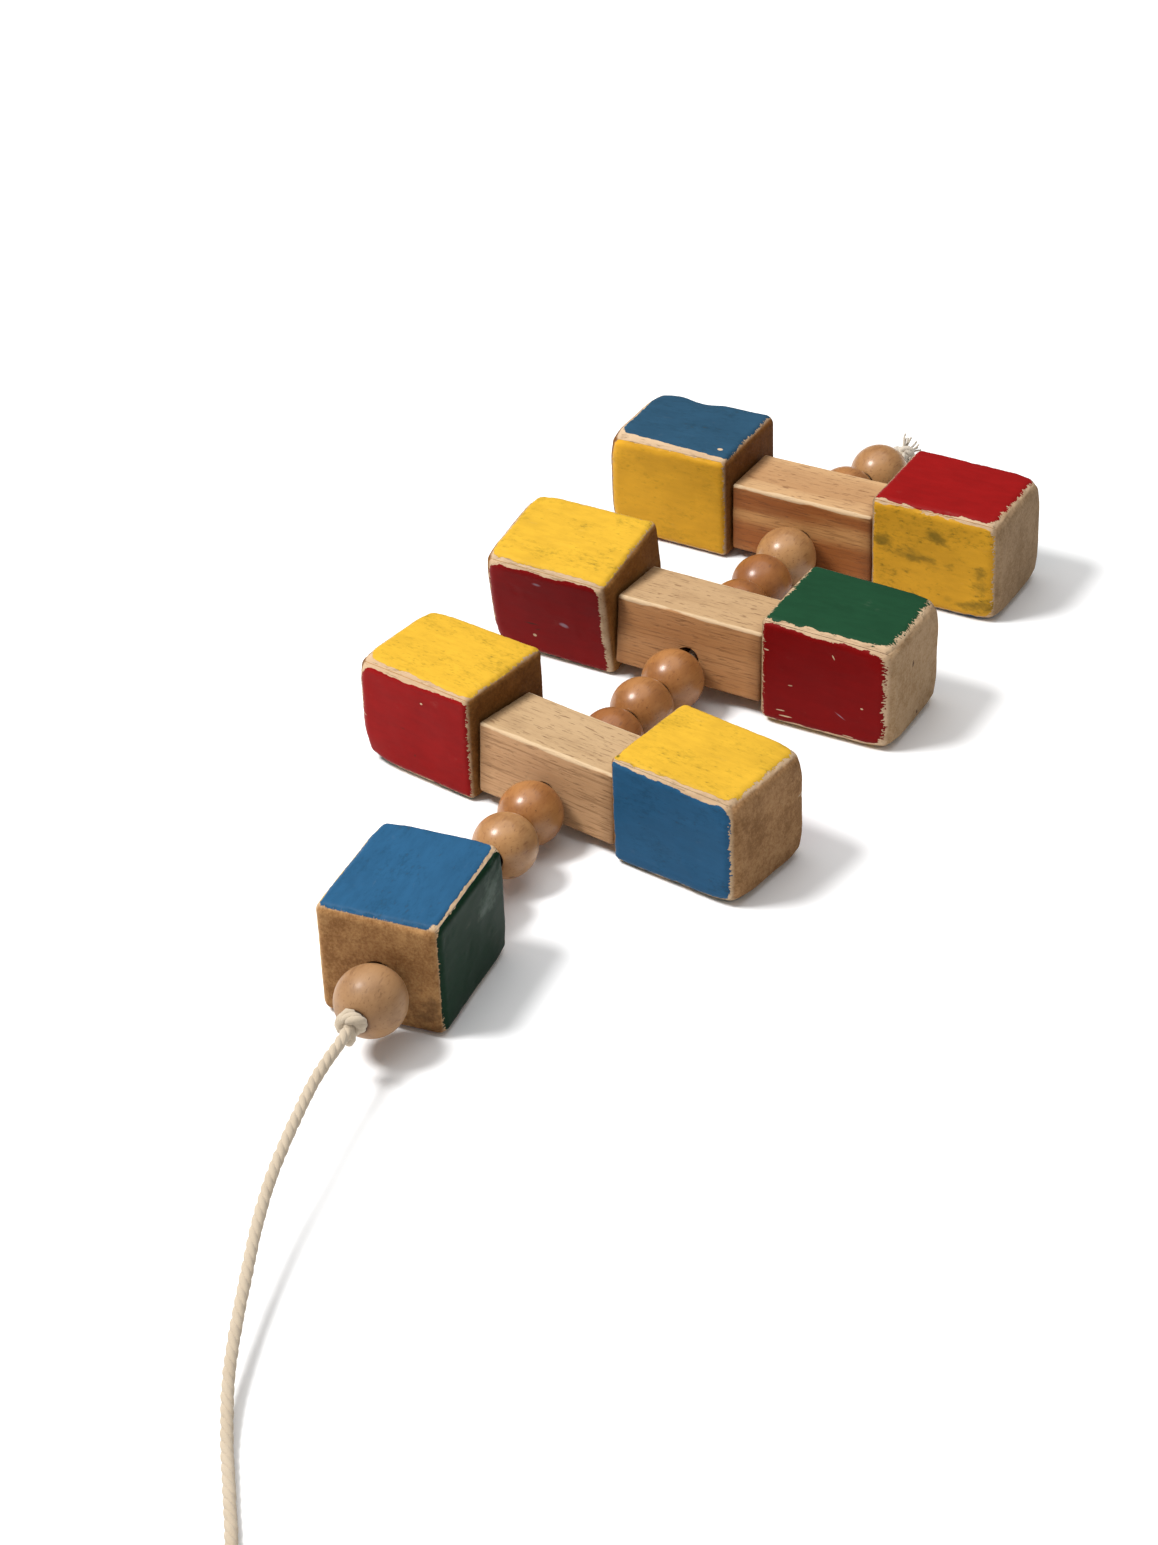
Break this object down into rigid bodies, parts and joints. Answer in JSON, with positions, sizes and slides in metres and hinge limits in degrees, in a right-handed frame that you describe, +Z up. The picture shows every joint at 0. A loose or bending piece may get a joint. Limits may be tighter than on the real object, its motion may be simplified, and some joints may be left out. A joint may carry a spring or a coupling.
{
  "type": "string pull toy",
  "caption": "Wooden pull toy: a painted lead block and cross-barred pairs of painted cubes that turn on dowels, strung on a cotton cord with round varnished beads between them.",
  "frame": {"origin": "middle of the toy on the floor, measured without the free pull cord", "axes": "+Y along the chain from the pull end to the tail, +X across the chain along the rear axles, +Z up"},
  "size_m": [0.202, 0.5416, 0.0404],
  "materials": {
    "head_block": "painted in a colour on each long side, worn to bare wood on the edges",
    "cord": "twisted cotton cord, undyed",
    "front_bead": "turned wood, worn matt",
    "bead": "turned wood, warm orange varnish",
    "crossbar": "bare pale wood, planed",
    "axle": "bare dowel",
    "block_1_left": "painted in four colours on the long sides, bare end grain, worn edges",
    "block_1_right": "painted in four colours on the long sides, bare end grain, worn edges",
    "block_2_left": "painted in four colours on the long sides, bare end grain, worn edges",
    "block_2_right": "painted in four colours on the long sides, bare end grain, worn edges",
    "block_3_left": "painted in four colours on the long sides, bare end grain, worn edges",
    "block_3_right": "painted in four colours on the long sides, bare end grain, worn edges",
    "pin": "plain wire"
  },
  "bodies": {
    "lead": {"head_block": "head_block", "head_cord": "cord", "front_knot": "cord", "pull_cord": "cord", "pull_cord_coil": "cord", "pull_cord_end_knot": "cord"},
    "front_bead": {"front_bead": "front_bead"},
    "link_1a": {"cord_1a": "cord"},
    "bead_1a": {"bead_1a": "bead"},
    "link_1b": {"cord_1b": "cord"},
    "bead_1b": {"bead_1b": "bead"},
    "link_1c": {"cord_1c": "cord"},
    "bead_1c": {"bead_1c": "bead"},
    "unit_1": {"crossbar_1": "crossbar", "axle_1_left": "axle", "axle_1_right": "axle", "bar_cord_1": "cord"},
    "cube_1_left": {"block_1_left": "block_1_left", "pin_1_left": "pin"},
    "cube_1_right": {"block_1_right": "block_1_right", "pin_1_right": "pin"},
    "link_2a": {"cord_2a": "cord"},
    "bead_2a": {"bead_2a": "bead"},
    "link_2b": {"cord_2b": "cord"},
    "bead_2b": {"bead_2b": "bead"},
    "link_2c": {"cord_2c": "cord"},
    "bead_2c": {"bead_2c": "bead"},
    "unit_2": {"crossbar_2": "crossbar", "axle_2_left": "axle", "axle_2_right": "axle", "bar_cord_2": "cord"},
    "cube_2_left": {"block_2_left": "block_2_left", "pin_2_left": "pin"},
    "cube_2_right": {"block_2_right": "block_2_right", "pin_2_right": "pin"},
    "link_3a": {"cord_3a": "cord"},
    "bead_3a": {"bead_3a": "bead"},
    "link_3b": {"cord_3b": "cord"},
    "bead_3b": {"bead_3b": "bead"},
    "link_3c": {"cord_3c": "cord"},
    "bead_3c": {"bead_3c": "bead"},
    "unit_3": {"crossbar_3": "crossbar", "axle_3_left": "axle", "axle_3_right": "axle", "bar_cord_3": "cord"},
    "cube_3_left": {"block_3_left": "block_3_left", "pin_3_left": "pin"},
    "cube_3_right": {"block_3_right": "block_3_right", "pin_3_right": "pin"},
    "link_4a": {"cord_4a": "cord"},
    "bead_4a": {"bead_4a": "bead"},
    "link_4b": {"cord_4b": "cord", "rear_knot": "cord"},
    "bead_4b": {"bead_4b": "bead"}
  },
  "joints": [
    {"name": "front_bead_spin", "type": "hinge", "parent": "lead", "child": "front_bead", "pos_m": [0.0062, -0.15743, 0.0162], "axis": [-0.1132, 0.9936, 0], "continuous": true},
    {"name": "link_1a_yaw", "type": "hinge", "parent": "lead", "child": "link_1a", "pos_m": [-0.0012, -0.10483, 0.0154], "axis": [0, 0, 1], "range_deg": [-6, 6]},
    {"name": "bead_1a_spin", "type": "hinge", "parent": "link_1a", "child": "bead_1a", "pos_m": [-0.00129, -0.09517, 0.0142], "axis": [0.03, 0.9986, -0.044], "continuous": true},
    {"name": "link_1b_pitch", "type": "hinge", "parent": "link_1a", "child": "link_1b", "pos_m": [-0.00066, -0.08613, 0.0146], "axis": [0.9976, -0.0698, 0], "range_deg": [-7, 7]},
    {"name": "bead_1b_spin", "type": "hinge", "parent": "link_1b", "child": "bead_1b", "pos_m": [-0.00003, -0.07709, 0.0126], "axis": [-0.0262, 0.9967, -0.0773], "continuous": true},
    {"name": "link_1c_yaw", "type": "hinge", "parent": "link_1b", "child": "link_1c", "pos_m": [-0.00113, -0.06808, 0.0132], "axis": [0, 0, 1], "range_deg": [-10, 10]},
    {"name": "bead_1c_spin", "type": "hinge", "parent": "link_1c", "child": "bead_1c", "pos_m": [-0.00224, -0.05906, 0.0114], "axis": [-0.0935, 0.9951, -0.033], "continuous": true},
    {"name": "unit_1_pitch", "type": "hinge", "parent": "link_1c", "child": "unit_1", "pos_m": [-0.00288, -0.04926, 0.0126], "axis": [0.9888, -0.1495, 0], "range_deg": [-4, 4]},
    {"name": "cube_1_left_turn", "type": "hinge", "parent": "unit_1", "child": "cube_1_left", "pos_m": [-0.00116, -0.03789, 0.0145], "axis": [0.9888, -0.1495, 0], "continuous": true},
    {"name": "cube_1_right_turn", "type": "hinge", "parent": "unit_1", "child": "cube_1_right", "pos_m": [-0.00116, -0.03789, 0.0145], "axis": [0.9888, -0.1495, 0], "continuous": true},
    {"name": "link_2a_yaw", "type": "hinge", "parent": "unit_1", "child": "link_2a", "pos_m": [0.00006, -0.02644, 0.0133], "axis": [0, 0, 1], "range_deg": [-6, 6]},
    {"name": "bead_2a_spin", "type": "hinge", "parent": "link_2a", "child": "bead_2a", "pos_m": [0.00091, -0.01686, 0.0121], "axis": [0.0438, 0.999, -0.0028], "continuous": true},
    {"name": "link_2b_pitch", "type": "hinge", "parent": "link_2a", "child": "link_2b", "pos_m": [0.00091, -0.00776, 0.01325], "axis": [1, 0, 0], "range_deg": [-7, 7]},
    {"name": "bead_2b_spin", "type": "hinge", "parent": "link_2b", "child": "bead_2b", "pos_m": [0.00091, 0.00134, 0.012], "axis": [0.0166, 0.9997, -0.0165], "continuous": true},
    {"name": "link_2c_yaw", "type": "hinge", "parent": "link_2b", "child": "link_2c", "pos_m": [0.00121, 0.01043, 0.01295], "axis": [0, 0, 1], "range_deg": [-10, 10]},
    {"name": "bead_2c_spin", "type": "hinge", "parent": "link_2c", "child": "bead_2c", "pos_m": [0.00151, 0.01952, 0.0115], "axis": [0.0218, 0.9997, -0.0137], "continuous": true},
    {"name": "unit_2_pitch", "type": "hinge", "parent": "link_2c", "child": "unit_2", "pos_m": [0.00161, 0.02912, 0.0127], "axis": [1, 0, 0], "range_deg": [-4, 4]},
    {"name": "cube_2_left_turn", "type": "hinge", "parent": "unit_2", "child": "cube_2_left", "pos_m": [0.00161, 0.04062, 0.0161], "axis": [0.9998, 0, -0.0175], "continuous": true},
    {"name": "cube_2_right_turn", "type": "hinge", "parent": "unit_2", "child": "cube_2_right", "pos_m": [0.00161, 0.04062, 0.0161], "axis": [0.9998, 0, -0.0175], "continuous": true},
    {"name": "link_3a_yaw", "type": "hinge", "parent": "unit_2", "child": "link_3a", "pos_m": [0.00191, 0.05212, 0.0139], "axis": [0, 0, 1], "range_deg": [-6, 6]},
    {"name": "bead_3a_spin", "type": "hinge", "parent": "link_3a", "child": "bead_3a", "pos_m": [0.00211, 0.06172, 0.0127], "axis": [-0.0279, 0.999, -0.0358], "continuous": true},
    {"name": "link_3b_pitch", "type": "hinge", "parent": "link_3a", "child": "link_3b", "pos_m": [0.00141, 0.07077, 0.01325], "axis": [0.9971, 0.0767, 0], "range_deg": [-7, 7]},
    {"name": "bead_3b_spin", "type": "hinge", "parent": "link_3b", "child": "bead_3b", "pos_m": [0.00072, 0.07982, 0.0114], "axis": [-0.0549, 0.9978, -0.0385], "continuous": true},
    {"name": "link_3c_yaw", "type": "hinge", "parent": "link_3b", "child": "link_3c", "pos_m": [0.00042, 0.08892, 0.01255], "axis": [0, 0, 1], "range_deg": [-10, 10]},
    {"name": "bead_3c_spin", "type": "hinge", "parent": "link_3c", "child": "bead_3c", "pos_m": [0.00011, 0.09801, 0.0113], "axis": [0.0042, 1, -0.0027], "continuous": true},
    {"name": "unit_3_pitch", "type": "hinge", "parent": "link_3c", "child": "unit_3", "pos_m": [0.00051, 0.10761, 0.0125], "axis": [1, 0, 0], "range_deg": [-4, 4]},
    {"name": "cube_3_left_turn", "type": "hinge", "parent": "unit_3", "child": "cube_3_left", "pos_m": [0.00051, 0.11911, 0.0145], "axis": [1, 0, 0], "continuous": true},
    {"name": "cube_3_right_turn", "type": "hinge", "parent": "unit_3", "child": "cube_3_right", "pos_m": [0.00051, 0.11911, 0.0145], "axis": [1, 0, 0], "continuous": true},
    {"name": "link_4a_yaw", "type": "hinge", "parent": "unit_3", "child": "link_4a", "pos_m": [-0.00019, 0.13061, 0.0127], "axis": [0, 0, 1], "range_deg": [-6, 6]},
    {"name": "bead_4a_spin", "type": "hinge", "parent": "link_4a", "child": "bead_4a", "pos_m": [0.00051, 0.14021, 0.0115], "axis": [0.132, 0.9912, -0.0055], "continuous": true},
    {"name": "link_4b_pitch", "type": "hinge", "parent": "link_4a", "child": "link_4b", "pos_m": [0.00225, 0.14914, 0.0126], "axis": [0.9816, -0.1908, 0], "range_deg": [-7, 7]},
    {"name": "bead_4b_spin", "type": "hinge", "parent": "link_4b", "child": "bead_4b", "pos_m": [0.00399, 0.15808, 0.0113], "axis": [0.1908, 0.9816, -0.011], "continuous": true}
  ]
}
